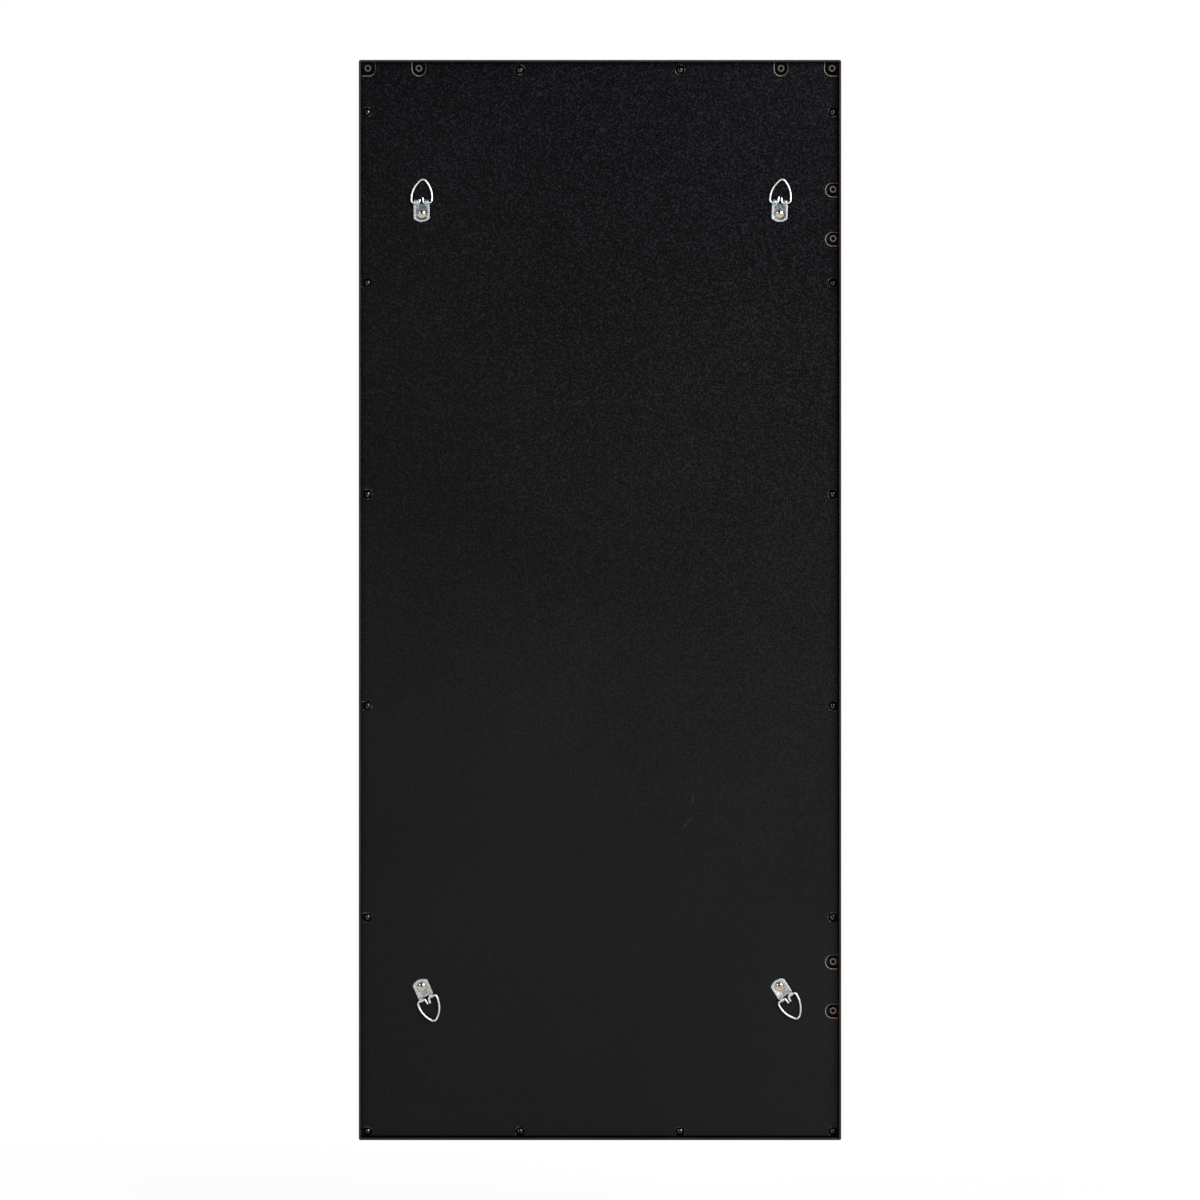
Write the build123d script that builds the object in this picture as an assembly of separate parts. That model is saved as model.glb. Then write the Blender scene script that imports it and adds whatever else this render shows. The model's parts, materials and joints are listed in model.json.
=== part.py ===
from build123d import *
import math
import os

# A tall wall mirror in a steel window frame, drawn as its back is seen: X to the right, Z up.
# The back rim lies in the plane Y = 0, the mirror faces +Y, and the origin is the middle of the back.

# Frame
frame_width = 510.0
frame_height = 1142.0
wall = 2.0  # steel of the side legs
face_thickness = 2.0  # steel of the front flange
corner_radius = 2.0
rim_round = 0.5  # rounding of the back rim
face_round = 0.8  # rounding of the front's outer edge
window_round = 0.4  # rounding of the front's inner edge and of the bars

# Depth of each layer, from the back rim to the front
recess_depth = 8.0  # open space behind the board, where the hangers lie
board_thickness = 9.0
tape_thickness = 1.0
glass_thickness = 4.0
felt_thickness = 1.0

# Window bars on the front
pane_rows = 4
pane_columns = 2
muntin_width = 12.0

# Backing board
board_gap_left = 0.4
board_gap_right = 1.4
board_gap_top = 0.4
board_gap_bottom = 2.2

# Posts on the flange, and the board screws in them
post_radius = 4.0
post_gap_side = 2.4  # from the frame's leg to the post
post_gap_top = 3.6
post_gap_bottom = 2.2
post_floor = 0.5  # steel left under the threaded hole
side_screw_rows = 4  # evenly spaced rows
side_screw_margin = 235.0  # from the top or bottom edge to the nearest of these rows
upper_screw_drop = 54.4  # from the top edge to the highest side screws
end_screw_inset = 170.3  # from the side edge to the screws along the top and bottom
board_screw_radius = 2.0
board_screw_length = 10.0
board_screw_hole_gap = 0.3
board_head_radius = 3.8
board_head_height = 2.6
board_head_side = 0.9
thread_clearance = 0.02

# Recess of each board screw, open to the board's edge except at the top
screw_recess_radius = 5.0
screw_recess_depth = 3.5
screw_recess_neck = 3.4  # half the opening's width at the recess
screw_recess_mouth = 4.3  # half the opening's width at the board's edge
screw_recess_chamfer = 0.4

# Threaded bushes for two-screw hanging brackets
bush_radius = 4.0
bush_hole_radius = 1.65
bush_hole_depth = 11.0
bush_proud = 2.0  # how far a bush stands out of the board
bush_chamfer = 0.5
corner_bush_gap = 3.4  # from the frame's leg to the corner bushes
bush_gap_top = 2.4
bush_gap_side = 2.4
bracket_pitch_top = 54.0
bracket_pitch_side = 52.0
bracket_drop = 162.5  # from the top or bottom edge to the middle of a side pair

# Pockets in the board round the bushes
pocket_radius = 6.8
pocket_offset = 0.7  # the pocket's middle lies this much further in than its bush
side_pocket_drop = 0.6
pocket_chamfer = 0.8

# Glass and what holds it
glass_clearance = 1.0  # from the posts to the glass
glass_overlap = 9.4  # how far the flange covers the glass
glass_chamfer = 0.5
felt_inner_setback = 1.4
felt_outer_setback = 2.0
tape_width = 25.0
tape_count = 3
tape_side_margin = 91.6  # from the glass's side edge to the middle of the nearest tape
tape_end_margin = 60.0

# Hangers: a strap that swivels on one screw, and a wire ring in its two knuckles
hanger_inset = 65.6  # from the side edge to a hanger's screw
hanger_shift = 0.6  # how far each pair lies to the right of this
hanger_drop = 162.0  # from the top or bottom edge to the screw
strap_thickness = 0.9
strap_rim_height = 0.5
strap_rim_width = 1.8
strap_width = 16.6
strap_tail = 8.2  # from the hole to the round end
strap_end_radius = 11.8
strap_corner_round = 0.8
strap_field_round = 2.5
strap_shoulder = 1.6  # from the narrow neck to the knuckles' middle
knuckle_distance = 12.4  # from the hole to the knuckles' middle
knuckle_board_gap = 0.3
knuckle_end_gap = 0.15
notch_width = 7.2
notch_gap = 0.4
ring_play = 0.6  # how far the ring can drop in its knuckles
strap_play = 0.55  # how far the strap can drop on its screw
running_fit = 0.05
ring_wire_radius = 1.1
ring_width = 24.0
ring_reach = 26.0  # from the axis to the outside of the apex
ring_apex_radius = 3.9
ring_corner_radius = 3.15
ring_side_run = 1.5
ring_lean = 4.5  # degrees, the loop's slant in its own plane
ring_tip_gap = 0.3  # from the ring's tip to the board, for a ring that leans on it
prong_spacing = 4.4
prong_slant = 8.0  # degrees
prong_bend_radius = 1.4
hanger_screw_radius = 2.1
hanger_screw_length = 9.0
hanger_pilot_extra = 0.4
hanger_head_radius = 4.9
hanger_head_height = 3.0
hanger_head_side = 1.0

# Cross recesses of the screw heads
hanger_cross_span = 4.8
hanger_cross_width = 1.1
hanger_cross_depth = 1.7
board_cross_span = 3.8
board_cross_width = 0.9
board_cross_depth = 1.4

# Each hanger: side and end of the board, turn of the strap in degrees, left and right prong, ring on the board
hangers = {
    "upper_left": (-1, 1, 0.5, 3.7, 5.6, True),
    "upper_right": (1, 1, -2.0, 6.7, 5.6, True),
    "lower_left": (-1, -1, 204.0, 6.3, 6.0, False),
    "lower_right": (1, -1, 213.0, 6.0, 6.3, False),
}

# Planes of the layers
board_back = recess_depth
board_front = board_back + board_thickness
glass_back = board_front + tape_thickness
glass_front = glass_back + glass_thickness
face_back = glass_front + felt_thickness
frame_depth = face_back + face_thickness

# Edges of the layers
half_width = frame_width / 2
half_height = frame_height / 2
post_inset_side = wall + post_gap_side + post_radius
post_inset_top = wall + post_gap_top + post_radius
post_inset_bottom = wall + post_gap_bottom + post_radius
glass_inset_side = max(post_inset_side + post_radius, wall + bush_gap_side + 2 * bush_radius) + glass_clearance
glass_inset_top = max(post_inset_top + post_radius, wall + bush_gap_top + 2 * bush_radius) + glass_clearance
glass_inset_bottom = post_inset_bottom + post_radius + glass_clearance
face_width = max(glass_inset_side, glass_inset_top, glass_inset_bottom) + glass_overlap
opening_half_width = half_width - face_width
opening_half_height = half_height - face_width
board_left = -half_width + wall + board_gap_left
board_right = half_width - wall - board_gap_right
board_top = half_height - wall - board_gap_top
board_bottom = -half_height + wall + board_gap_bottom

# Places that a strap and its ring share
ring_half_width = ring_width / 2 - ring_wire_radius
ring_height = ring_reach - ring_wire_radius
knuckle_bore = ring_wire_radius + ring_play + running_fit
knuckle_radius = knuckle_bore + strap_thickness
knuckle_height = knuckle_radius + knuckle_board_gap
knuckle_end = ring_half_width - ring_corner_radius - knuckle_end_gap
notch_floor = knuckle_distance - ring_play - ring_wire_radius - notch_gap


def back_plane(y):
    """A plane at depth y whose sketches are drawn in X and Z, as seen from the back."""
    return Plane(origin=(0, y, 0), x_dir=(1, 0, 0), z_dir=(0, -1, 0))


def layer(sketch, y_from, y_to):
    """A sketch drawn in X and Z, made solid between two depths."""
    return extrude(back_plane(y_to) * sketch, amount=y_to - y_from)


def rectangle(left, right, bottom, top):
    return Pos((left + right) / 2, (bottom + top) / 2) * Rectangle(right - left, top - bottom)


def rod(x, z, radius, y_from, y_to):
    return layer(Pos(x, z) * Circle(radius), y_from, y_to)


def spread(k, count, reach):
    """The place of one of several things that lie evenly between minus and plus a reach."""
    return reach * (2 * k / (count - 1) - 1)


def at_depth(shape, y):
    """The edges of a shape that lie at one depth."""
    return shape.edges().filter_by_position(Axis.Y, y - 1e-4, y + 1e-4)


# Frame

def frame_ring():
    outline = RectangleRounded(frame_width, frame_height, corner_radius)
    ring = layer(outline, 0, frame_depth)
    inner = rectangle(-half_width + wall, half_width - wall, -half_height + wall, half_height - wall)
    ring -= layer(inner, 0, face_back)
    window = rectangle(-opening_half_width, opening_half_width, -opening_half_height, opening_half_height)
    ring -= layer(window, face_back, frame_depth)
    front = at_depth(ring, frame_depth)
    outer = [edge for edge in front if lies_outside_window(edge @ 0.5)]
    ring = fillet(outer, face_round)
    front = at_depth(ring, frame_depth)
    inner = [edge for edge in front if not lies_outside_window(edge @ 0.5)]
    ring = fillet(inner, window_round)
    return fillet(at_depth(ring, 0), rim_round)


def lies_outside_window(point):
    return abs(point.X) > opening_half_width + wall or abs(point.Z) > opening_half_height + wall


def frame_members():
    """The ring, cut at its four mitres."""
    ring = frame_ring()
    margin = 5.0
    x = half_width + margin
    z = half_height + margin
    peak = half_height - half_width
    regions = {
        "frame_rail_top": [(-x, z), (x, z), (0, peak)],
        "frame_rail_bottom": [(-x, -z), (0, -peak), (x, -z)],
        "frame_stile_left": [(-x, z), (0, peak), (0, -peak), (-x, -z)],
        "frame_stile_right": [(x, z), (x, -z), (0, -peak), (0, peak)],
    }
    for name, corners in regions.items():
        region = make_face(Polyline(*corners, close=True))
        yield name, ring & layer(region, -margin, frame_depth + margin)


# Window bars

def bar_places(half_span, panes):
    """The middle lines of the bars that part a span into equal panes."""
    clear = (2 * half_span - (panes - 1) * muntin_width) / panes
    return [half_span - (k + 1) * clear - (k + 0.5) * muntin_width for k in range(panes - 1)]


def muntins():
    rows = bar_places(opening_half_height, pane_rows)
    columns = bar_places(opening_half_width, pane_columns)
    lap = (face_back + frame_depth) / 2
    for k, x in enumerate(columns):
        name = "muntin_vertical" if len(columns) == 1 else f"muntin_vertical_{k + 1}"
        edges = (x - muntin_width / 2, x + muntin_width / 2)
        bar = layer(rectangle(*edges, -opening_half_height, opening_half_height), face_back, frame_depth)
        bar = fillet(at_depth(bar, frame_depth), window_round)
        for z in rows:
            crossing = rectangle(*edges, z - muntin_width / 2, z + muntin_width / 2)
            bar -= layer(crossing, lap, frame_depth)
        yield name, bar
    for k, z in enumerate(rows):
        edges = (z - muntin_width / 2, z + muntin_width / 2)
        bar = layer(rectangle(-opening_half_width, opening_half_width, *edges), face_back, frame_depth)
        bar = fillet(at_depth(bar, frame_depth), window_round)
        for x in columns:
            crossing = rectangle(x - muntin_width / 2, x + muntin_width / 2, *edges)
            bar -= layer(crossing, face_back, lap)
        yield f"muntin_horizontal_{k + 1}", bar


# Glass, felt and tape

def glass():
    outline = rectangle(
        -half_width + glass_inset_side,
        half_width - glass_inset_side,
        -half_height + glass_inset_bottom,
        half_height - glass_inset_top,
    )
    pane = layer(outline, glass_back, glass_front)
    return chamfer(at_depth(pane, glass_front) + at_depth(pane, glass_back), glass_chamfer)


def felt_strips():
    """Four strips on the flange, on which the glass lies."""
    width = glass_overlap - felt_inner_setback - felt_outer_setback
    x_in = opening_half_width + felt_inner_setback
    z_in = opening_half_height + felt_inner_setback
    x_out = x_in + width
    z_out = z_in + width
    strips = {
        "felt_strip_top": rectangle(-x_out, x_out, z_in, z_out),
        "felt_strip_bottom": rectangle(-x_out, x_out, -z_out, -z_in),
        "felt_strip_left": rectangle(-x_out, -x_in, -z_in, z_in),
        "felt_strip_right": rectangle(x_in, x_out, -z_in, z_in),
    }
    for name, outline in strips.items():
        yield name, layer(outline, glass_front, face_back)


def mounting_tapes():
    """Double-sided tape between the glass and the board."""
    top = half_height - glass_inset_top - tape_end_margin
    bottom = -half_height + glass_inset_bottom + tape_end_margin
    reach = half_width - glass_inset_side - tape_side_margin
    for k in range(tape_count):
        x = spread(k, tape_count, reach)
        outline = rectangle(x - tape_width / 2, x + tape_width / 2, bottom, top)
        yield f"mounting_tape_{k + 1}", layer(outline, board_front, glass_back)


# Places of the fasteners

def board_screw_places():
    """Each board screw as X, Z and the board's edge that its recess opens to."""
    places = []
    for side in (-1, 1):
        x = side * (half_width - post_inset_side)
        rows = [spread(k, side_screw_rows, half_height - side_screw_margin) for k in range(side_screw_rows)]
        rows.append(half_height - upper_screw_drop)
        rows.append(-half_height + post_inset_bottom)
        places += [(x, z, "left" if side < 0 else "right") for z in rows]
        end_x = side * (half_width - end_screw_inset)
        places.append((end_x, half_height - post_inset_top, "top"))
        places.append((end_x, -half_height + post_inset_bottom, "bottom"))
    return places


def top_bush_places():
    """Each top bush as X, Z and where its pocket opens to."""
    z = half_height - wall - bush_gap_top - bush_radius
    corner = half_width - wall - corner_bush_gap - bush_radius
    places = []
    for side in (-1, 1):
        places.append((side * corner, z, "corner"))
        places.append((side * (corner - bracket_pitch_top), z, "top"))
    return places


def side_bush_places():
    x = half_width - wall - bush_gap_side - bush_radius
    middle = half_height - bracket_drop
    rows = [end * middle + step * bracket_pitch_side / 2 for end in (1, -1) for step in (1, -1)]
    return [(x, z, "right") for z in rows]


# Backing board

def pocket_outline(x, z, edge, grow):
    """The opening round a bush, open to the board's nearest edge, and drawn larger all round by an amount."""
    radius = pocket_radius + grow
    beyond = 1.0 + grow
    if edge == "right":
        centre = x - pocket_offset
        middle = z - side_pocket_drop
        way = rectangle(centre, board_right + beyond, middle - radius, middle + radius)
        return Pos(centre, middle) * Circle(radius) + way
    middle = z - pocket_offset
    if edge == "top":
        way = rectangle(x - radius, x + radius, middle, board_top + beyond)
        return Pos(x, middle) * Circle(radius) + way
    centre = x - math.copysign(pocket_offset, x)
    inner = centre - math.copysign(radius, x)
    outer = board_right + beyond if x > 0 else board_left - beyond
    upper = rectangle(min(inner, outer), max(inner, outer), middle, board_top + beyond)
    lower = rectangle(min(centre, outer), max(centre, outer), middle - radius, board_top + beyond)
    return Pos(centre, middle) * Circle(radius) + upper + lower


def recess_outline(x, z, edge, grow):
    """A round recess with a slightly flared way out to the board's edge, drawn larger all round by an amount."""
    recess = Circle(screw_recess_radius + grow)
    if edge == "top":
        return Pos(x, z) * recess
    run, turn = {
        "left": (x - board_left, 180),
        "right": (board_right - x, 0),
        "bottom": (z - board_bottom, 270),
    }[edge]
    beyond = 1.0 + grow
    neck = screw_recess_neck + grow
    mouth = screw_recess_mouth + grow + beyond * (screw_recess_mouth - screw_recess_neck) / run
    way = make_face(Polyline((0, -neck), (run + beyond, -mouth), (run + beyond, mouth), (0, neck), close=True))
    return Pos(x, z) * Rot(0, 0, turn) * (recess + way)


def bevelled_cut(outline, place, depth, bevel):
    """What is cut from the board's back for an opening with a bevelled mouth."""
    mouth = layer(outline(*place, bevel), board_back - bevel, board_back + bevel)
    mouth = chamfer(at_depth(mouth, board_back + bevel), bevel)
    return mouth + layer(outline(*place, 0), board_back, board_back + depth)


def backing_board():
    board = layer(rectangle(board_left, board_right, board_bottom, board_top), board_back, board_front)
    for place in top_bush_places() + side_bush_places():
        board -= bevelled_cut(pocket_outline, place, board_thickness, pocket_chamfer)
    for place in board_screw_places():
        board -= bevelled_cut(recess_outline, place, screw_recess_depth, screw_recess_chamfer)
        board -= rod(*place[:2], board_screw_radius + board_screw_hole_gap, board_back, board_front)
    pilot_depth = hanger_screw_length - strap_thickness + hanger_pilot_extra
    for side, end, *_ in hangers.values():
        x, z = hanger_place(side, end)
        board -= rod(x, z, hanger_screw_radius + thread_clearance, board_back, board_back + pilot_depth)
    return board


# Posts, bushes and screws

def board_posts():
    posts = []
    for x, z, edge in board_screw_places():
        post = rod(x, z, post_radius, board_front, face_back)
        hole = rod(x, z, board_screw_radius + thread_clearance, board_front, face_back - post_floor)
        posts.append(post - hole)
    return Compound(children=posts)


def bush(x, z):
    mouth = board_back - bush_proud
    solid = rod(x, z, bush_radius, mouth, face_back)
    solid = chamfer(at_depth(solid, mouth), bush_chamfer)
    return solid - rod(x, z, bush_hole_radius, mouth, mouth + bush_hole_depth)


def pan_head(radius, height, side, cross_span, cross_width, cross_depth):
    """A domed head on the plane Z = 0, with a cross recess in its top."""
    dome = (radius**2 + (height - side) ** 2) / (2 * (height - side))
    outline = make_face(
        [
            Line((0, 0), (radius, 0)),
            Line((radius, 0), (radius, side)),
            RadiusArc((radius, side), (0, height), -dome),
            Line((0, height), (0, 0)),
        ]
    )
    rim = outline.vertices().group_by(Axis.X)[-1].sort_by(Axis.Y)[-1]
    head = revolve(Plane.XZ * fillet(rim, side / 2), Axis.Z)
    cross = Rectangle(cross_span, cross_width) + Rectangle(cross_width, cross_span)
    return head - Pos(0, 0, height) * extrude(cross, amount=-cross_depth, taper=9)


def screw(radius, length, head):
    """A screw along Z with its head's underside on the plane Z = 0."""
    shank = Pos(0, 0, -length / 2) * Cylinder(radius, length)
    tip = shank.edges().sort_by(Axis.Z)[0]
    return head + chamfer(tip, radius / 4)


def board_screws():
    head = pan_head(
        board_head_radius,
        board_head_height,
        board_head_side,
        board_cross_span,
        board_cross_width,
        board_cross_depth,
    )
    one = screw(board_screw_radius, board_screw_length, head)
    seat = board_back + screw_recess_depth
    screws = []
    for k, (x, z, edge) in enumerate(board_screw_places()):
        turn = 37.0 * k
        screws.append(back_plane(seat) * Pos(x, z) * Rot(0, 0, turn) * one)
    return Compound(children=screws)


# Hangers

def hanger_place(side, end):
    return hanger_shift + side * (half_width - hanger_inset), end * (half_height - hanger_drop)


def hanger_plane(side, end, turn):
    """The board's surface at a hanger's screw: its Z points out of the board, its Y towards the ring."""
    x, z = hanger_place(side, end)
    angle = math.radians(turn)
    return Plane(origin=(x, board_back, z), x_dir=(math.cos(angle), 0, math.sin(angle)), z_dir=(0, -1, 0))


def strap_outline(inset, top):
    """The strap's outline below a height, drawn inside its edge by an inset."""
    half = strap_width / 2 - inset
    end = Pos(0, strap_end_radius - strap_tail) * Circle(strap_end_radius - inset)
    body = rectangle(-half, half, -strap_tail, top) & end
    upper = rectangle(-half, half, 0, top)
    return body + upper


def hanger_strap():
    """The strap about the middle of its hole."""
    thickness = strap_thickness + strap_rim_height
    shoulder = knuckle_distance - strap_shoulder
    plate = extrude(strap_outline(0, shoulder), amount=thickness)
    corners = plate.edges().filter_by(Axis.Z).sort_by(Axis.Y)
    plate = fillet(corners, strap_corner_round)
    field = strap_outline(strap_rim_width, shoulder - strap_rim_width)
    field = fillet(field.vertices(), strap_field_round)
    field += rectangle(-notch_width / 2, notch_width / 2, 0, shoulder)
    plate -= Pos(0, 0, strap_thickness) * extrude(field, amount=strap_rim_height)
    plate += Pos(0, knuckle_distance, knuckle_height) * knuckle_pair(shoulder - knuckle_distance)
    return plate - Cylinder(hanger_screw_radius + strap_play + running_fit, 4 * thickness)


def knuckle_pair(neck):
    """Both knuckles and the necks that carry them, about the knuckles' middle line along X."""
    plate_top = strap_thickness + strap_rim_height - knuckle_height
    profile = Circle(knuckle_radius) + rectangle(neck - strap_rim_width, 0, -knuckle_radius, plate_top)
    profile -= Circle(knuckle_bore)
    side_view = Plane(origin=(0, 0, 0), x_dir=(0, 1, 0), z_dir=(1, 0, 0))
    tube = extrude(side_view * profile, amount=knuckle_end, both=True)
    notch = rectangle(-notch_width / 2, notch_width / 2, neck - strap_rim_width, knuckle_radius)
    return tube - extrude(notch, amount=knuckle_radius, both=True)


def ring_path(left_prong, right_prong):
    """The wire's middle line, as it comes off a bending jig: every bend turns the same way."""
    lean = math.radians(ring_lean)
    slant = math.radians(prong_slant)
    flank_run = ring_corner_radius + ring_side_run
    rise = ring_height - ring_apex_radius - flank_run
    flank_radius = (ring_half_width**2 + rise**2 - ring_apex_radius**2) / (2 * (ring_half_width - ring_apex_radius))
    flank_turn = math.degrees(math.atan2(rise, flank_radius - ring_half_width))
    apex_turn = 180 - 2 * flank_turn

    def side(sign):
        """Where a leaning side line meets the axis, and its length down to there."""
        x = sign * ring_half_width * math.cos(lean) + flank_run * math.sin(lean)
        y = -sign * ring_half_width * math.sin(lean) + flank_run * math.cos(lean)
        return x - y * math.tan(lean), y / math.cos(lean)

    def cut_off(radius, turn):
        """How much of a straight line a bend of this radius takes up."""
        return radius * math.tan(math.radians(turn) / 2)

    left_corner, left_side = side(-1)
    right_corner, right_side = side(1)
    prong_turn = 90 - prong_slant
    prong_cut = cut_off(prong_bend_radius, prong_turn)
    left_turn = 90 + ring_lean
    right_turn = 90 - ring_lean
    left_cut = cut_off(ring_corner_radius, left_turn)
    right_cut = cut_off(ring_corner_radius, right_turn)
    half_spacing = prong_spacing / 2
    bends = [
        (left_prong / math.cos(slant) - prong_cut, prong_turn, prong_bend_radius),
        (-left_corner - half_spacing - prong_cut - left_cut, left_turn, ring_corner_radius),
        (left_side - left_cut, flank_turn, flank_radius),
        (0, apex_turn, ring_apex_radius),
        (0, flank_turn, flank_radius),
        (right_side - right_cut, right_turn, ring_corner_radius),
        (right_corner - half_spacing - prong_cut - right_cut, prong_turn, prong_bend_radius),
        (right_prong / math.cos(slant) - prong_cut, 0, 0),
    ]
    point = Vector(-half_spacing + left_prong * math.tan(slant), left_prong)
    heading = 270 - prong_slant
    line = []
    for run, turn, radius in bends:
        direction = Vector(math.cos(math.radians(heading)), math.sin(math.radians(heading)))
        if run > 0:
            line.append(Line(point, point + direction * run))
            point = line[-1] @ 1
        if turn > 0:
            line.append(JernArc(point, direction, radius, -turn))
            point = line[-1] @ 1
            heading -= turn
    return Wire(line)


def hanger_ring(left_prong, right_prong, leans_on_board):
    """The ring about its axis, turned down onto the board if it leans there."""
    path = ring_path(left_prong, right_prong)
    wire = sweep(Plane(origin=path @ 0, z_dir=path % 0) * Circle(ring_wire_radius), path=path)
    room = knuckle_height - ring_wire_radius - ring_tip_gap
    tilt = math.degrees(math.asin(room / ring_height)) if leans_on_board else 0
    return Rot(-tilt, 0, 0) * wire


def hanger_screw():
    head = pan_head(
        hanger_head_radius,
        hanger_head_height,
        hanger_head_side,
        hanger_cross_span,
        hanger_cross_width,
        hanger_cross_depth,
    )
    return Pos(0, 0, strap_thickness) * Rot(0, 0, 45) * screw(hanger_screw_radius, hanger_screw_length, head)


def hanger_pieces():
    """The pieces of each hanger; strap and ring have dropped by their play."""
    for name, (side, end, turn, left_prong, right_prong, leans_on_board) in hangers.items():
        plane = hanger_plane(side, end, turn)
        upright = hanger_plane(side, end, 0)
        drop = -end * strap_play
        ring_axis = knuckle_distance + drop - end * ring_play
        ring = hanger_ring(left_prong, right_prong, leans_on_board)
        yield f"hanger_strap_{name}", plane * Pos(0, drop, 0) * hanger_strap()
        yield f"hanger_ring_{name}", plane * Pos(0, ring_axis, knuckle_height) * ring
        yield f"hanger_screw_{name}", upright * hanger_screw()


def pieces():
    """Every piece of the mirror by its name."""
    yield from frame_members()
    yield from muntins()
    yield "mirror_glass", glass()
    yield from felt_strips()
    yield from mounting_tapes()
    yield "backing_board", backing_board()
    yield "board_posts", board_posts()
    yield "bracket_bushes_top", Compound(children=[bush(x, z) for x, z, edge in top_bush_places()])
    yield "bracket_bushes_side", Compound(children=[bush(x, z) for x, z, edge in side_bush_places()])
    yield "board_screws", board_screws()
    yield from hanger_pieces()


os.makedirs("parts", exist_ok=True)
for piece_name, piece in pieces():
    export_step(piece, f"parts/{piece_name}.step")
    print(piece_name, "solids", len(piece.solids()), "volume", round(piece.volume, 1))
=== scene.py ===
import bmesh, bpy, json, math
from mathutils import Matrix, Vector


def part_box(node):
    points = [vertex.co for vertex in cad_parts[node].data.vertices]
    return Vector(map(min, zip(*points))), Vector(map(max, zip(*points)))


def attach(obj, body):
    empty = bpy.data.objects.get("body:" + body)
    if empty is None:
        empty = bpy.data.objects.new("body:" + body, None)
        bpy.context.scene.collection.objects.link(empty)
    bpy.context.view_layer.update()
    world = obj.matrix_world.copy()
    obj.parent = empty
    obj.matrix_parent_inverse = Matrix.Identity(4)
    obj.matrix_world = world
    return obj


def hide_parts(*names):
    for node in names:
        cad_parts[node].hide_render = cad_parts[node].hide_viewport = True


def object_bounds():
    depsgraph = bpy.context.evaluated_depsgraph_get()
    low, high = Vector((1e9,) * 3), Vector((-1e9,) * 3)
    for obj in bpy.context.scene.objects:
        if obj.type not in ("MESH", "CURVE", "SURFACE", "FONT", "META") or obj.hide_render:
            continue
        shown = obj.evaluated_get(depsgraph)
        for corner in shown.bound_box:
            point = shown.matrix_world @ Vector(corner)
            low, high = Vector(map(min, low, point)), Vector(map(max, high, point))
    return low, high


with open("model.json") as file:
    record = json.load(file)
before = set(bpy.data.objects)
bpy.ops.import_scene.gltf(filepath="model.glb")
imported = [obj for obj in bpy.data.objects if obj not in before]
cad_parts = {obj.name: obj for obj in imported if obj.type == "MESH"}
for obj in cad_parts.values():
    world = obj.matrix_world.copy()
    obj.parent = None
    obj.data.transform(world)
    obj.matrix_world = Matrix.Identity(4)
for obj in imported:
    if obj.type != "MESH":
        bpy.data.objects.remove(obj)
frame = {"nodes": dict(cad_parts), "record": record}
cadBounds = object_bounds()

nodes = frame["nodes"]
slots = {part["node"]: part["material_slot"] for part in frame["record"]["subparts"]}
bodies = {}
for bodyName, members in frame["record"]["behaviour"]["bodies"].items():
    for member in members:
        bodies[member] = bodyName
print("frame loaded:", len(nodes), "pieces")


# Small helpers for node trees

def newMaterial(name):
    material = bpy.data.materials.new(name)
    material.use_nodes = True
    return material, material.node_tree


def addNode(tree, kind, **settings):
    node = tree.nodes.new(kind)
    for key, value in settings.items():
        setattr(node, key, value)
    return node


def feed(tree, socket, value):
    # a plain value goes on the socket, an output is linked to it
    if isinstance(value, bpy.types.NodeSocket):
        tree.links.new(value, socket)
    else:
        socket.default_value = value


def mathNode(tree, operation, first, second=0.0):
    node = addNode(tree, "ShaderNodeMath", operation=operation)
    feed(tree, node.inputs[0], first)
    feed(tree, node.inputs[1], second)
    return node.outputs[0]


def objectPoint(tree):
    return addNode(tree, "ShaderNodeTexCoord").outputs["Object"]


def placed(tree, vector, location=(0, 0, 0), rotation=(0, 0, 0), scale=(1, 1, 1)):
    node = addNode(tree, "ShaderNodeMapping")
    feed(tree, node.inputs["Vector"], vector)
    feed(tree, node.inputs["Location"], location)
    feed(tree, node.inputs["Rotation"], rotation)
    feed(tree, node.inputs["Scale"], scale)
    return node.outputs[0]


def noise(tree, vector, scale, detail=2.0, roughness=0.5, distortion=0.0):
    node = addNode(tree, "ShaderNodeTexNoise")
    feed(tree, node.inputs["Vector"], vector)
    feed(tree, node.inputs["Scale"], scale)
    feed(tree, node.inputs["Detail"], detail)
    feed(tree, node.inputs["Roughness"], roughness)
    feed(tree, node.inputs["Distortion"], distortion)
    return node.outputs["Fac"]


def cells(tree, vector, scale, feature="F1"):
    node = addNode(tree, "ShaderNodeTexVoronoi", feature=feature)
    feed(tree, node.inputs["Vector"], vector)
    feed(tree, node.inputs["Scale"], scale)
    return node.outputs["Distance"]


def remap(tree, value, low, high, toLow=0.0, toHigh=1.0):
    node = addNode(tree, "ShaderNodeMapRange", clamp=True)
    for key, number in (("From Min", low), ("From Max", high), ("To Min", toLow), ("To Max", toHigh)):
        node.inputs[key].default_value = number
    feed(tree, node.inputs["Value"], value)
    return node.outputs["Result"]


def blendColor(tree, factor, first, second):
    node = addNode(tree, "ShaderNodeMix", data_type="RGBA")
    feed(tree, node.inputs[0], factor)
    feed(tree, node.inputs[6], (*first, 1.0) if isinstance(first, tuple) else first)
    feed(tree, node.inputs[7], (*second, 1.0) if isinstance(second, tuple) else second)
    return node.outputs[2]


def blendValue(tree, factor, first, second):
    node = addNode(tree, "ShaderNodeMix", data_type="FLOAT")
    feed(tree, node.inputs[0], factor)
    feed(tree, node.inputs[2], first)
    feed(tree, node.inputs[3], second)
    return node.outputs[0]


def splitPoint(tree, vector):
    node = addNode(tree, "ShaderNodeSeparateXYZ")
    feed(tree, node.inputs[0], vector)
    return node.outputs


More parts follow.
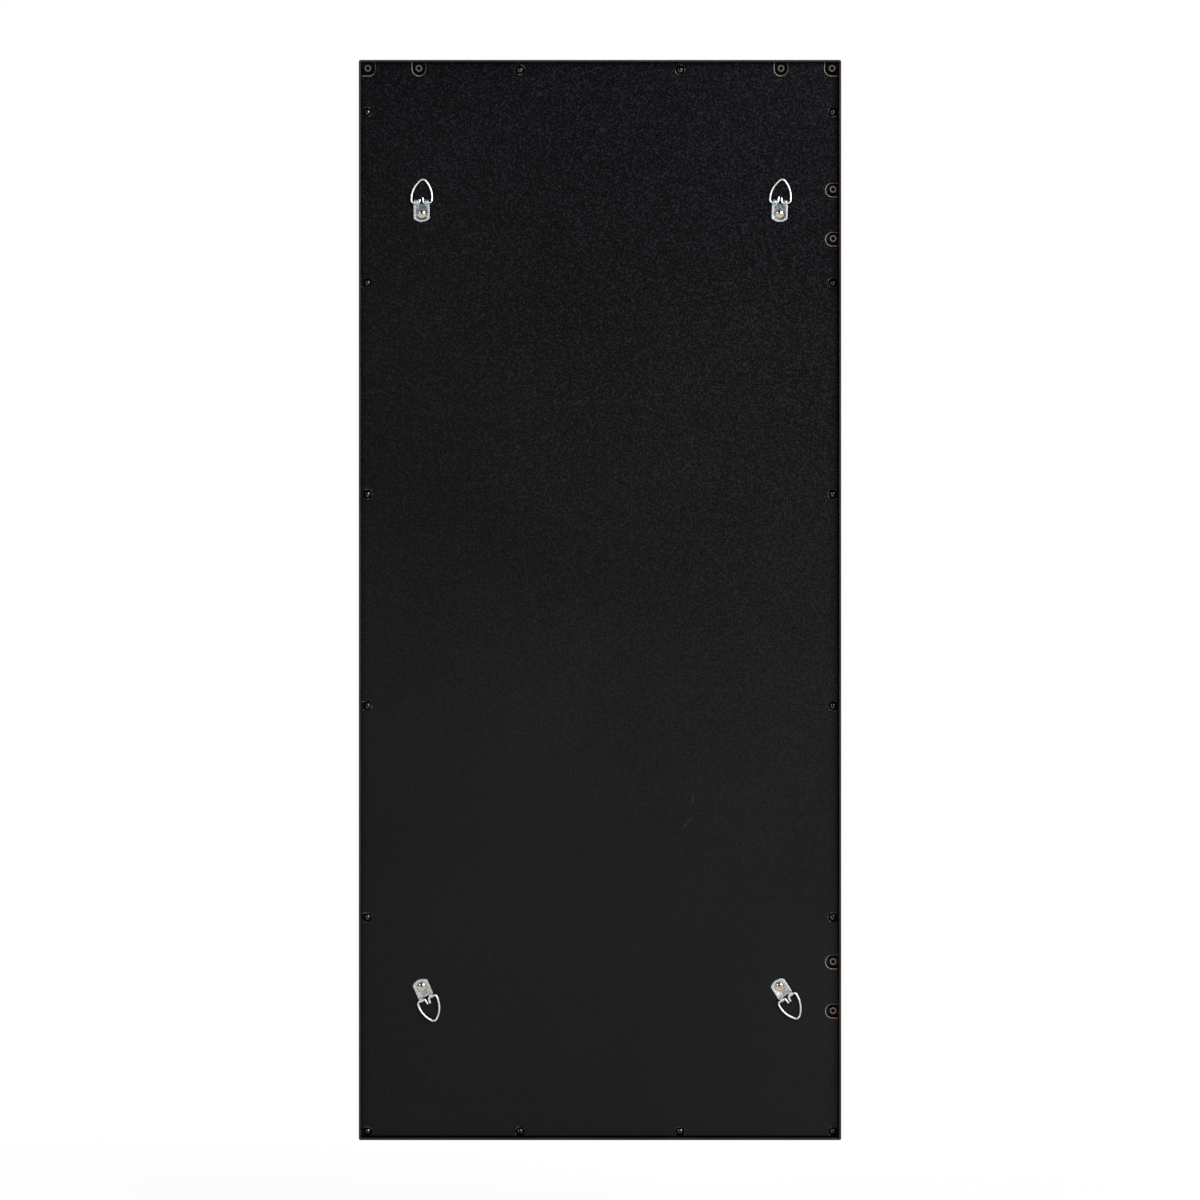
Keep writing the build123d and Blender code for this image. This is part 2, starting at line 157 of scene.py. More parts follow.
def nearest(tree, point, places):
    # the distance to the closest of several places, seen from the back
    flat = placed(tree, point, scale=(1, 0, 1))
    closest = None
    for x, z in places:
        node = addNode(tree, "ShaderNodeVectorMath", operation="DISTANCE")
        feed(tree, node.inputs[0], flat)
        feed(tree, node.inputs[1], (x, 0, z))
        far = node.outputs["Value"]
        closest = far if closest is None else mathNode(tree, "MINIMUM", closest, far)
    return closest


def bumped(tree, height, distance, strength=1.0):
    node = addNode(tree, "ShaderNodeBump")
    feed(tree, node.inputs["Height"], height)
    node.inputs["Distance"].default_value = distance
    node.inputs["Strength"].default_value = strength
    return node.outputs["Normal"]


def shaderOf(tree, **sockets):
    shader = tree.nodes["Principled BSDF"]
    for key, value in sockets.items():
        feed(tree, shader.inputs[key.replace("_", " ")], value)
    return shader


# Frame: dark bronze coating with a fine orange peel and paler edges, partly rubbed wear and partly a
# painted highlight

frameFinish = {
    "deep": (0.017, 0.0155, 0.0135),
    "pale": (0.036, 0.033, 0.029),
    "brownDeep": (0.023, 0.0125, 0.0085),
    "brownPale": (0.052, 0.033, 0.023),
    "edgeWearHighlight": (0.10, 0.084, 0.066),
    "edgeWidth": 0.0004,
    "peelScale": 900,
    "peelHeight": 0.000025,
}


def makeFrameFinish():
    material, tree = newMaterial("darkBronzeCoat")
    point = objectPoint(tree)
    cloud = remap(tree, noise(tree, point, 14, 4), 0.3, 0.7)
    speck = remap(tree, noise(tree, point, 4200, 1), 0.45, 0.75)
    x, y, z = splitPoint(tree, point)
    # the coating is greyer on the upper left and browner towards the lower right
    across = mathNode(tree, "MULTIPLY", x, 1.6)
    drift = mathNode(tree, "SUBTRACT", across, mathNode(tree, "MULTIPLY", z, 0.6))
    brown = remap(tree, mathNode(tree, "ADD", drift, mathNode(tree, "MULTIPLY", cloud, 0.2)), -0.25, 0.45)
    deep = blendColor(tree, brown, frameFinish["deep"], frameFinish["brownDeep"])
    pale = blendColor(tree, brown, frameFinish["pale"], frameFinish["brownPale"])
    color = blendColor(tree, cloud, deep, pale)
    color = blendColor(tree, mathNode(tree, "MULTIPLY", speck, 0.35), color, pale)
    # the rounded normal differs from the flat one only along edges
    edge = addNode(tree, "ShaderNodeBevel", samples=4)
    edge.inputs["Radius"].default_value = frameFinish["edgeWidth"]
    flat = addNode(tree, "ShaderNodeNewGeometry")
    turn = addNode(tree, "ShaderNodeVectorMath", operation="DOT_PRODUCT")
    tree.links.new(edge.outputs[0], turn.inputs[0])
    tree.links.new(flat.outputs["Normal"], turn.inputs[1])
    # the edges are painted paler in patches: part rubbed wear, part a painted highlight where rounded edges
    # catch light
    edgeWearAndHighlight = remap(tree, turn.outputs["Value"], 0.995, 0.9)
    patchy = remap(tree, noise(tree, point, 60, 3), 0.4, 0.65, 0.1, 0.7)
    color = blendColor(tree, mathNode(tree, "MULTIPLY", edgeWearAndHighlight, patchy), color, frameFinish["edgeWearHighlight"])
    shaderOf(
        tree,
        Base_Color=color,
        Roughness=remap(tree, noise(tree, point, 35, 3), 0.3, 0.7, 0.34, 0.46),
        Metallic=0.2,
        Specular_IOR_Level=0.22,
        Normal=bumped(tree, noise(tree, point, frameFinish["peelScale"], 2), frameFinish["peelHeight"]),
    )
    return material


# Backing board: black pebbled foil, raw fibreboard wherever it is cut

boardFinish = {
    "foil": (0.0004, 0.0004, 0.0005),
    "foilPale": (0.0170, 0.0160, 0.0172),
    "upperTint": (0.0150, 0.0145, 0.0225),
    "fibre": (0.56, 0.49, 0.41),
    "fibreDark": (0.34, 0.275, 0.205),
    "burnt": (0.190, 0.172, 0.158),
    "recessShade": (0.020, 0.018, 0.015),
    "flake": (0.34, 0.31, 0.26),
    "pocketShade": (0.010, 0.007, 0.005),
    "scratch": (0.05, 0.05, 0.048),
    "grainScale": 640,
    "grainHeight": 0.00010,
    "cutDepth": 0.00006,  # below this the board shows its fibre
    "pocketShadeDepth": (0.00042, 0.00075),
    "pocketReach": (0.0095, 0.0110),  # from a bush's middle to past its pocket
    "scratchWidth": (0.00015, 0.00045),
    "bushes": [(-0.2456, 0.5626), (-0.1916, 0.5626), (0.1916, 0.5626), (0.2456, 0.5626),
               (0.2466, 0.4345), (0.2466, 0.3825), (0.2466, -0.3825), (0.2466, -0.4345)],
    "scratches": [((0.0902, 0.1403), 49, 0.0140), ((0.0972, 0.1638), 90, 0.0080),
                  ((0.0932, -0.2353), 49, 0.0170), ((0.0983, -0.2098), 90, 0.0125)],
}


def scratchMask(tree, point):
    # each scratch is a thin streak on the foil that fades at both ends
    total = 0.0
    for (x, z), angle, length in boardFinish["scratches"]:
        local = placed(tree, point, location=(-x, 0, -z))
        local = placed(tree, local, rotation=(0, math.radians(angle), 0))
        part = splitPoint(tree, local)
        along = remap(tree, mathNode(tree, "ABSOLUTE", part[0]), length * 0.3, length * 0.5, 1.0, 0.0)
        across = remap(tree, mathNode(tree, "ABSOLUTE", part[2]), *boardFinish["scratchWidth"], 1.0, 0.0)
        total = mathNode(tree, "ADD", total, mathNode(tree, "MULTIPLY", along, across))
    return total


def makeBoardFinish():
    material, tree = newMaterial("blackFoilBoard")
    point = objectPoint(tree)
    x, y, z = splitPoint(tree, point)
    low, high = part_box("backing_board")
    depth = mathNode(tree, "SUBTRACT", y, low.y)
    cut = mathNode(tree, "GREATER_THAN", depth, boardFinish["cutDepth"])
    # the grain is crisp near the top and right, and worn smoother further down
    crisp = remap(tree, mathNode(tree, "ADD", z, mathNode(tree, "MULTIPLY", x, 0.5)), -0.25, 0.5, 0.16, 1.0)
    pebble = cells(tree, placed(tree, point, scale=(1, 0.2, 1)), boardFinish["grainScale"], "SMOOTH_F1")
    fine = noise(tree, point, 1100, 2)
    cloud = remap(tree, noise(tree, point, 4.5, 5), 0.3, 0.7)
    height = mathNode(tree, "ADD", pebble, mathNode(tree, "MULTIPLY", fine, 0.6))
    grain = mathNode(tree, "SUBTRACT", remap(tree, height, 0.52, 0.98), 0.5)
    lift = mathNode(tree, "MULTIPLY", mathNode(tree, "MULTIPLY", grain, crisp), 1.3)
    lift = mathNode(tree, "ADD", lift, remap(tree, cloud, 0.0, 1.0, 0.24, 0.34))
    lift = mathNode(tree, "ADD", lift, remap(tree, x, -0.2, 0.25, -0.05, 0.08))
    lift = mathNode(tree, "ADD", lift, remap(tree, z, -0.3, 0.45, 0.0, -0.16))
    pale = blendColor(tree, remap(tree, z, 0.15, 0.5), boardFinish["foilPale"], boardFinish["upperTint"])
    foil = blendColor(tree, lift, boardFinish["foil"], pale)
    scratched = mathNode(tree, "MULTIPLY", scratchMask(tree, point), 0.6)
    foil = blendColor(tree, scratched, foil, boardFinish["scratch"])
    fluff = noise(tree, placed(tree, point, scale=(1, 1.6, 1)), 1500, 4, 0.7)
    fibre = blendColor(tree, remap(tree, fluff, 0.35, 0.7), boardFinish["fibreDark"], boardFinish["fibre"])
    # painted shade: cut faces turned away from the light, the upper right walls of each opening, get darker
    # fibre; faces turned to the light keep the pale fibre
    facing = splitPoint(tree, addNode(tree, "ShaderNodeNewGeometry").outputs["True Normal"])
    towardLight = mathNode(tree, "ADD", facing[0], mathNode(tree, "MULTIPLY", facing[2], 0.5))
    fibre = blendColor(tree, remap(tree, towardLight, -0.35, 0.45), boardFinish["burnt"], fibre)
    # painted shade darkens the fibre of the small recesses, with pale flecks left in it, but not in the
    # bush pockets
    away = remap(tree, nearest(tree, point, boardFinish["bushes"]), *boardFinish["pocketReach"])
    chipped = remap(tree, noise(tree, point, 420, 2), 0.52, 0.62)
    recessShadeWithFlecks = blendColor(tree, chipped, boardFinish["recessShade"], boardFinish["flake"])
    fibre = blendColor(tree, away, fibre, recessShadeWithFlecks)
    # painted shade: the fibre grows darker deeper in the cuts
    deep = remap(tree, depth, *boardFinish["pocketShadeDepth"])
    fibre = blendColor(tree, deep, fibre, boardFinish["pocketShade"])
    relief = mathNode(tree, "MULTIPLY", height, crisp)
    relief = blendValue(tree, cut, relief, mathNode(tree, "MULTIPLY", fluff, 2.0))
    smooth = remap(tree, cloud, 0.0, 1.0, 0.42, 0.52)
    coarse = remap(tree, fluff, 0.3, 0.7, 0.85, 0.98)
    shaderOf(
        tree,
        Base_Color=blendColor(tree, cut, foil, fibre),
        Roughness=blendValue(tree, cut, smooth, coarse),
        Specular_IOR_Level=remap(tree, crisp, 0.16, 1.0, 0.14, 0.06),  # crisp grain is duller
        Normal=bumped(tree, relief, boardFinish["grainHeight"]),
    )
    return material


# Mirror: silvered glass, green at the cut edge, dark paint behind

mirrorFinish = {
    "silver": (0.845, 0.872, 0.862),
    "clouded": (0.760, 0.790, 0.782),
    "edge": (0.10, 0.26, 0.20),
    "paint": (0.008, 0.009, 0.010),
    "paintPale": (0.016, 0.017, 0.019),
    "skin": 0.00002,  # faces this close to the front or back belong to it
}


def makeMirrorFinish():
    material, tree = newMaterial("silveredGlass")
    point = objectPoint(tree)
    low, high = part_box("mirror_glass")
    y = splitPoint(tree, point)[1]
    front = mathNode(tree, "GREATER_THAN", y, high.y - mirrorFinish["skin"])
    back = mathNode(tree, "LESS_THAN", y, low.y + mirrorFinish["skin"])
    paint = blendColor(tree, noise(tree, point, 500, 3), mirrorFinish["paint"], mirrorFinish["paintPale"])
    color = blendColor(tree, back, mirrorFinish["edge"], paint)
    haze = remap(tree, noise(tree, point, 2.2, 3, 0.5, 0.4), 0.35, 0.7)
    silver = blendColor(tree, haze, mirrorFinish["silver"], mirrorFinish["clouded"])
    color = blendColor(tree, front, color, silver)
    smudge = remap(tree, noise(tree, point, 9, 6, 0.6, 0.6), 0.5, 0.75, 0.008, 0.03)
    shaderOf(
        tree,
        Base_Color=color,
        Metallic=front,
        Roughness=blendValue(tree, front, 0.35, smudge),
        Normal=bumped(tree, noise(tree, point, 6, 1), 0.000004),
    )
    return material


# Plated and blackened hardware

hardwareFinish = {
    "zincField": (0.075, 0.100, 0.122),
    "zincPale": (0.29, 0.335, 0.365),
    "lowerField": (0.40, 0.43, 0.40),
    "lowerPale": (0.74, 0.76, 0.72),
    "zincRim": (0.62, 0.66, 0.65),
    "nickel": (0.88, 0.88, 0.86),
    "warmNickel": (0.60, 0.525, 0.45),
    "black": (0.020, 0.020, 0.020),
    "blackWorn": (0.16, 0.157, 0.15),
    "bush": (0.072, 0.060, 0.053),
    "bushPale": (0.138, 0.120, 0.108),
    "bushBrown": (0.150, 0.100, 0.078),
    "bushSideShade": (0.010, 0.009, 0.008),
    "boreShade": (0.006, 0.005, 0.004),
    "rimHeight": (0.0010, 0.0013),  # where a strap's raised rim starts and ends
    "facedRadius": (0.00342, 0.00352),
    "boreRadius": (0.00195, 0.00215),
}


def makeZincFinish():
    material, tree = newMaterial("zincPlate")
    point = objectPoint(tree)
    low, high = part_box("backing_board")
    x, y, z = splitPoint(tree, point)
    height = mathNode(tree, "SUBTRACT", low.y, y)  # above the board
    raised = remap(tree, height, *hardwareFinish["rimHeight"])
    spangle = cells(tree, point, 620)
    cloud = remap(tree, noise(tree, point, 460, 4, 0.62), 0.42, 0.64)
    upper = blendColor(tree, cloud, hardwareFinish["zincField"], hardwareFinish["zincPale"])
    lower = blendColor(tree, cloud, hardwareFinish["lowerField"], hardwareFinish["lowerPale"])
    field = blendColor(tree, mathNode(tree, "LESS_THAN", z, 0.0), upper, lower)
    # painted highlight: the raised rim is painted paler, broken up by noise
    rimBreakup = remap(tree, noise(tree, point, 700, 3), 0.3, 0.6, 0.5, 1.0)
    paintedRimHighlight = mathNode(tree, "MULTIPLY", raised, rimBreakup)
    shaderOf(
        tree,
        Base_Color=blendColor(tree, paintedRimHighlight, field, hardwareFinish["zincRim"]),
        Metallic=1.0,
        Roughness=remap(tree, spangle, 0.1, 0.8, 0.32, 0.50),
        Normal=bumped(tree, mathNode(tree, "ADD", spangle, cloud), 0.00003),
    )
    return material


def makeNickelFinish(name, tone, roughLow, roughHigh):
    material, tree = newMaterial(name)
    point = objectPoint(tree)
    cloud = remap(tree, noise(tree, point, 300, 3), 0.3, 0.7)
    dull = tuple(0.86 * part for part in tone)
    shaderOf(
        tree,
        Base_Color=blendColor(tree, cloud, tone, dull),
        Metallic=1.0,
        Roughness=remap(tree, cloud, 0.0, 1.0, roughLow, roughHigh),
        Normal=bumped(tree, noise(tree, point, 2600, 2), 0.000006),
    )
    return material


def makeBlackScrewFinish():
    material, tree = newMaterial("blackOxide")
    point = objectPoint(tree)
    cloud = remap(tree, noise(tree, point, 900, 3), 0.35, 0.7)
    shaderOf(
        tree,
        Base_Color=blendColor(tree, cloud, hardwareFinish["black"], hardwareFinish["blackWorn"]),
        Metallic=1.0,
        Roughness=remap(tree, cloud, 0.0, 1.0, 0.13, 0.26),
        Normal=bumped(tree, noise(tree, point, 3000, 2), 0.00001),
    )
    return material


def makeBushFinish():
    material, tree = newMaterial("turnedBush")
    point = objectPoint(tree)
    cloud = remap(tree, noise(tree, point, 700, 4), 0.3, 0.7)
    color = blendColor(tree, cloud, hardwareFinish["bush"], hardwareFinish["bushPale"])
    # the bushes on the side are made browner
    side = mathNode(tree, "LESS_THAN", splitPoint(tree, point)[2], 0.5)
    color = blendColor(tree, mathNode(tree, "MULTIPLY", side, 0.75), color, hardwareFinish["bushBrown"])
    # painted shade: the side and its chamfer are painted near black, only the end keeps its colour
    away = nearest(tree, point, boardFinish["bushes"])
    skin = remap(tree, away, *hardwareFinish["facedRadius"])
    color = blendColor(tree, skin, color, hardwareFinish["bushSideShade"])
    # painted shade darkens the threaded hole
    paintedBoreShade = remap(tree, away, *hardwareFinish["boreRadius"], 1.0, 0.0)
    color = blendColor(tree, paintedBoreShade, color, hardwareFinish["boreShade"])
    shaderOf(
        tree,
        Base_Color=color,
        Metallic=0.2,
        Specular_IOR_Level=0.15,
        Roughness=remap(tree, cloud, 0.0, 1.0, 0.36, 0.5),
        Normal=bumped(tree, noise(tree, point, 2600, 3), 0.00002),
    )
    return material


# Felt and foam tape, inside the frame

softFinish = {
    "felt": (0.006, 0.006, 0.006),
    "feltPale": (0.03, 0.03, 0.029),
    "foam": (0.45, 0.45, 0.43),
    "foamPale": (0.72, 0.72, 0.70),
}


def makeFeltFinish():
    material, tree = newMaterial("blackFelt")
    point = objectPoint(tree)
    fluff = noise(tree, point, 1800, 5, 0.75)
    tuft = remap(tree, fluff, 0.3, 0.7)
    shaderOf(
        tree,
        Base_Color=blendColor(tree, tuft, softFinish["felt"], softFinish["feltPale"]),
        Roughness=remap(tree, fluff, 0.3, 0.7, 0.9, 1.0),
        Sheen_Weight=0.3,
        Normal=bumped(tree, fluff, 0.0003),
    )
    return material


def makeTapeFinish():
    material, tree = newMaterial("foamTape")
    point = objectPoint(tree)
    pores = cells(tree, point, 2200)
    wall = remap(tree, pores, 0.1, 0.6)
    shaderOf(
        tree,
        Base_Color=blendColor(tree, wall, softFinish["foam"], softFinish["foamPale"]),
        Roughness=remap(tree, pores, 0.1, 0.6, 0.95, 0.75),
        Normal=bumped(tree, pores, 0.0001),
    )
    return material


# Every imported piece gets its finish

finishes = {
    "frame_bronze": makeFrameFinish(),
    "board": makeBoardFinish(),
    "mirror_glass": makeMirrorFinish(),
    "zinc_strap": makeZincFinish(),
    "nickel_wire": makeNickelFinish("nickelWire", hardwareFinish["nickel"], 0.26, 0.36),
    "nickel_screw": makeNickelFinish("nickelScrew", hardwareFinish["warmNickel"], 0.07, 0.14),
    "black_screw": makeBlackScrewFinish(),
    "bush_bronze": makeBushFinish(),
    "felt": makeFeltFinish(),
    "foam_tape": makeTapeFinish(),
}

for node, slotName in slots.items():
    nodes[node].data.materials.clear()
    nodes[node].data.materials.append(finishes[slotName])
print("finishes on", len(slots), "pieces")


# Finer pieces, modelled in millimetres and set in place at the end

millimetre = 0.001
weldDistance = 0.001  # in millimetres, vertices closer than this become one
boardBack = 8.0  # how deep the board's back lies in the frame


def standingOut(x, depth, z, turn=0.0):
    # a frame whose z axis points out of the back, turned about it by some degrees
    angle = math.radians(turn)
    across = Vector((math.cos(angle), 0, math.sin(angle)))
    along = Vector((-math.sin(angle), 0, math.cos(angle)))
    out = Vector((0, -1, 0))
    columns = Matrix((across, along, out)).transposed().to_4x4()
    return Matrix.Scale(millimetre, 4) @ Matrix.Translation((x, depth, z)) @ columns


def finishPiece(shape, name, node, crease=32):
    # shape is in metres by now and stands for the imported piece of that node
    bmesh.ops.recalc_face_normals(shape, faces=shape.faces)
    for face in shape.faces:
        face.smooth = True
    for edge in shape.edges:
        edge.smooth = edge.calc_face_angle(0.0) < math.radians(crease)
    mesh = bpy.data.meshes.new(name)
    shape.to_mesh(mesh)
    shape.free()
    mesh.materials.append(finishes[slots[node]])
    piece = bpy.data.objects.new(name, mesh)
    bpy.context.scene.collection.objects.link(piece)
    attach(piece, bodies[node])
    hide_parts(node)
    return piece


def repeated(shape, places):
    # the shape once at each place, as one bmesh in metres
    mesh = bpy.data.meshes.new("single")
    shape.to_mesh(mesh)
    shape.free()
    whole = bmesh.new()
    for place in places:
        start = len(whole.verts)
        whole.from_mesh(mesh)
        whole.verts.ensure_lookup_table()
        bmesh.ops.transform(whole, matrix=place, verts=whole.verts[start:])
    bpy.data.meshes.remove(mesh)
    return whole


def chain(shape, points):
    # a line of vertices in the plane of x and z
    verts = [shape.verts.new((x, 0, z)) for x, z in points]
    for first, second in zip(verts, verts[1:]):
        shape.edges.new((first, second))
    return verts


def lathe(shape, steps):
    bmesh.ops.spin(
        shape,
        geom=shape.verts[:] + shape.edges[:],
        cent=(0, 0, 0),
        axis=(0, 0, 1),
        angle=math.tau,
        steps=steps,
        use_merge=True,
        use_normal_flip=False,
        use_duplicate=False,
    )
    bmesh.ops.remove_doubles(shape, verts=shape.verts, dist=weldDistance)
    loose = [edge for edge in shape.edges if not edge.link_faces]
    bmesh.ops.delete(shape, geom=loose, context="EDGES")


# Pan-head screws with a cross recess

hangerScrew = {
    "radius": 4.9,
    "height": 3.0,
    "side": 1.0,
    "crossSpan": 5.2,
    "crossWidth": 1.15,
    "crossDepth": 1.7,
    "shank": 2.1,
    "length": 9.0,
    "seat": 7.1,  # depth of the head's underside
    "rimChamfer": 0.15,
    "turn": 45.0,
    "steps": 120,
    "rings": 34,
}
boardScrew = {
    "radius": 3.8,
    "height": 2.6,
    "side": 0.9,
    "crossSpan": 4.4,
    "crossWidth": 1.0,
    "crossDepth": 1.5,
    "shank": 2.0,
    "length": 10.0,
    "seat": 11.5,
    "rimChamfer": 0.15,
    "steps": 72,
    "rings": 20,
    "turnStep": 37.0,
    "rows": (-336, -112, 112, 336, 516.6, -562.8),
    "sideX": 246.6,
    "endX": 84.7,
    "endRows": (561.4, -562.8),
}


crossWalls = {"wallSlope": 5.0, "endSlope": 1.9, "coreSlope": 2.2, "coreShare": 0.75}


def pressedCross(screw, x, y):
    # how deep the driver's recess is at a point of the head
    depth = 0.0
    for along, across in ((abs(x), abs(y)), (abs(y), abs(x))):
        wall = crossWalls["wallSlope"] * (screw["crossWidth"] / 2 - across)
        end = crossWalls["endSlope"] * (screw["crossSpan"] / 2 - along)
        depth = max(depth, min(wall, end, screw["crossDepth"]))
    coreRadius = crossWalls["coreShare"] * screw["crossWidth"]
    core = crossWalls["coreSlope"] * (coreRadius - math.hypot(x, y))
    return max(depth, min(core, screw["crossDepth"]), 0.0)


def panHeadScrew(screw):
    shape = bmesh.new()
    radius, side, rise = screw["radius"], screw["side"], screw["height"] - screw["side"]
    dome = (radius**2 + rise**2) / (2 * rise)
    tip = screw["shank"] / 4
    outline = chain(shape, [
        (0, -screw["length"]),
        (screw["shank"] - tip, -screw["length"]),
        (screw["shank"], tip - screw["length"]),
        (screw["shank"], 0),
        (radius - screw["rimChamfer"], 0),
        (radius, screw["rimChamfer"]),
        (radius, side),
    ])
    rim = outline[-1]
    bmesh.ops.spin(
        shape,
        geom=[rim],
        cent=(0, 0, screw["height"] - dome),
        axis=(0, 1, 0),
        angle=-math.asin(radius / dome),
        steps=screw["rings"],
        use_merge=False,
        use_normal_flip=False,
        use_duplicate=False,
    )
    bmesh.ops.bevel(
        shape,
        geom=[rim],
        offset=side * 0.15,
        offset_type="OFFSET",
        segments=3,
        profile=0.5,
        affect="VERTICES",
        material=-1,
    )
    lathe(shape, screw["steps"])
    for vert in shape.verts:
        if vert.co.z > side:
            vert.co.z -= pressedCross(screw, vert.co.x, vert.co.y)
    return shape


def makeBoardScrews():
    spots = [(x, z) for x in (-boardScrew["sideX"], boardScrew["sideX"]) for z in boardScrew["rows"]]
    spots += [(x, z) for x in (-boardScrew["endX"], boardScrew["endX"]) for z in boardScrew["endRows"]]
    places = []
    for count, (x, z) in enumerate(spots):
        places.append(standingOut(x, boardScrew["seat"], z, boardScrew["turnStep"] * count))
    finishPiece(repeated(panHeadScrew(boardScrew), places), "boardScrews", "board_screws")
    print("board screws:", len(spots))


makeBoardScrews()


# Bushes for the two-screw brackets, tapped for a metric screw

bush = {
    "radius": 4.0,
    "chamfer": 0.5,
    "mouth": 6.0,  # depth of the bush's end
    "length": 17.0,
    "crest": 1.65,
    "root": 2.0,
    "pitch": 0.7,
    "threadDepth": 10.3,
    "countersink": 0.12,
    "threadSteps": 24,
    "lead": 0.1,  # from the countersink to the thread
    "crestStart": 0.28,
    "crestEnd": 0.36,
    "steps": 48,
    "topRow": 0.5,  # bushes above this height sit along the top edge
}


def threadedBush():
    shape = bmesh.new()
    radius, chamfer, length = bush["radius"], bush["chamfer"], bush["length"]
    root, sink, pitch = bush["root"], bush["countersink"], bush["pitch"]
    floor = -bush["threadDepth"] - pitch
    chain(shape, [
        (0, floor),
        (root, floor),
        (root, -sink),
        (root + sink, 0),
        (radius - chamfer, 0),
        (radius, -chamfer),
        (radius, -length),
        (0, -length),
    ])
    lathe(shape, bush["steps"])
    turns = int(bush["threadDepth"] / pitch) - 1
    top = -sink - bush["lead"]
    start = chain(shape, [
        (root, top),
        (bush["crest"], top - bush["crestStart"]),
        (bush["crest"], top - bush["crestEnd"]),
        (root, top - pitch),
    ])
    profile = [edge for edge in shape.edges if not edge.link_faces]
    last = bmesh.ops.spin(
        shape,
        geom=start + profile,
        cent=(0, 0, 0),
        axis=(0, 0, 1),
        dvec=(0, 0, -pitch / bush["threadSteps"]),
        angle=math.tau * turns,
        steps=bush["threadSteps"] * turns,
        use_merge=False,
        use_normal_flip=False,
        use_duplicate=False,
    )["geom_last"]
    tail = [item for item in last if isinstance(item, bmesh.types.BMVert)]
    bmesh.ops.contextual_create(shape, geom=start)
    bmesh.ops.contextual_create(shape, geom=tail)
    bmesh.ops.remove_doubles(shape, verts=shape.verts, dist=weldDistance)
    return shape


def makeBushes():
    top, side = [], []
    for x, z in boardFinish["bushes"]:
        place = standingOut(x / millimetre, bush["mouth"], z / millimetre)
        (top if z > bush["topRow"] else side).append(place)
    finishPiece(repeated(threadedBush(), top), "bracketBushesTop", "bracket_bushes_top")
    finishPiece(repeated(threadedBush(), side), "bracketBushesSide", "bracket_bushes_side")
    print("bushes:", len(top) + len(side))


makeBushes()


# Hangers: pressed strap, bent wire ring and screw

hangers = {  # screw x and z, turn in degrees, prong lengths, leans on the board
    "upper_left": (-188.8, 409.0, 0.5, 3.7, 5.6, True),
    "upper_right": (190.0, 409.0, -2.0, 6.7, 5.6, True),
    "lower_left": (-188.8, -409.0, 204.0, 6.3, 6.0, False),
    "lower_right": (190.0, -409.0, 213.0, 6.0, 6.3, False),
}
ring = {
    "wire": 1.1,
    "width": 24.0,
    "reach": 26.0,
    "apexRadius": 3.9,
    "cornerRadius": 3.15,
    "sideRun": 1.5,
    "lean": 4.5,
    "prongSpacing": 4.4,
    "prongSlant": 8.0,
    "prongBend": 1.4,
    "tilt": 3.57,
    "axisUpper": 11.25,  # from the screw
    "axisLower": 13.55,
    "axisHeight": 2.95,  # above the board
    "wireSides": 24,
    "tipRound": 0.22,
    "bendStep": 4,  # degrees between sections of a bend
}
strap = {  # lengths in metres, angles in degrees
    "edgeRound": 0.00016,
    "weld": 0.000002,
    "flatAngle": 1.0,
    "sharpAngle": 40,
}


def ringBends(leftProng, rightProng):
    # straight runs and bends of the wire, as they come off a bending jig
    lean, slant = math.radians(ring["lean"]), math.radians(ring["prongSlant"])
    halfWidth = ring["width"] / 2 - ring["wire"]
    flankRun = ring["cornerRadius"] + ring["sideRun"]
    apex = ring["apexRadius"]
    rise = ring["reach"] - ring["wire"] - apex - flankRun
    flankRadius = (halfWidth**2 + rise**2 - apex**2) / (2 * (halfWidth - apex))
    flankTurn = math.degrees(math.atan2(rise, flankRadius - halfWidth))

    def side(sign):
        x = sign * halfWidth * math.cos(lean) + flankRun * math.sin(lean)
        y = -sign * halfWidth * math.sin(lean) + flankRun * math.cos(lean)
        return x - y * math.tan(lean), y / math.cos(lean)

    def cutOff(radius, turn):
        return radius * math.tan(math.radians(turn) / 2)

    leftCorner, leftSide = side(-1)
    rightCorner, rightSide = side(1)
    corner, bend, half = ring["cornerRadius"], ring["prongBend"], ring["prongSpacing"] / 2
    prongTurn = 90 - ring["prongSlant"]
    prongCut = cutOff(bend, prongTurn)
    leftTurn, rightTurn = 90 + ring["lean"], 90 - ring["lean"]
    leftCut, rightCut = cutOff(corner, leftTurn), cutOff(corner, rightTurn)
    start = Vector((leftProng * math.tan(slant) - half, leftProng, 0))
    return start, 270 - ring["prongSlant"], [
        (leftProng / math.cos(slant) - prongCut, prongTurn, bend),
        (-leftCorner - half - prongCut - leftCut, leftTurn, corner),
        (leftSide - leftCut, flankTurn, flankRadius),
        (0, 180 - 2 * flankTurn, apex),
        (0, flankTurn, flankRadius),
        (rightSide - rightCut, rightTurn, corner),
        (rightCorner - half - prongCut - rightCut, prongTurn, bend),
        (rightProng / math.cos(slant) - prongCut, 0, 0),
    ]


def headingVector(heading):
    return Vector((math.cos(math.radians(heading)), math.sin(math.radians(heading)), 0))


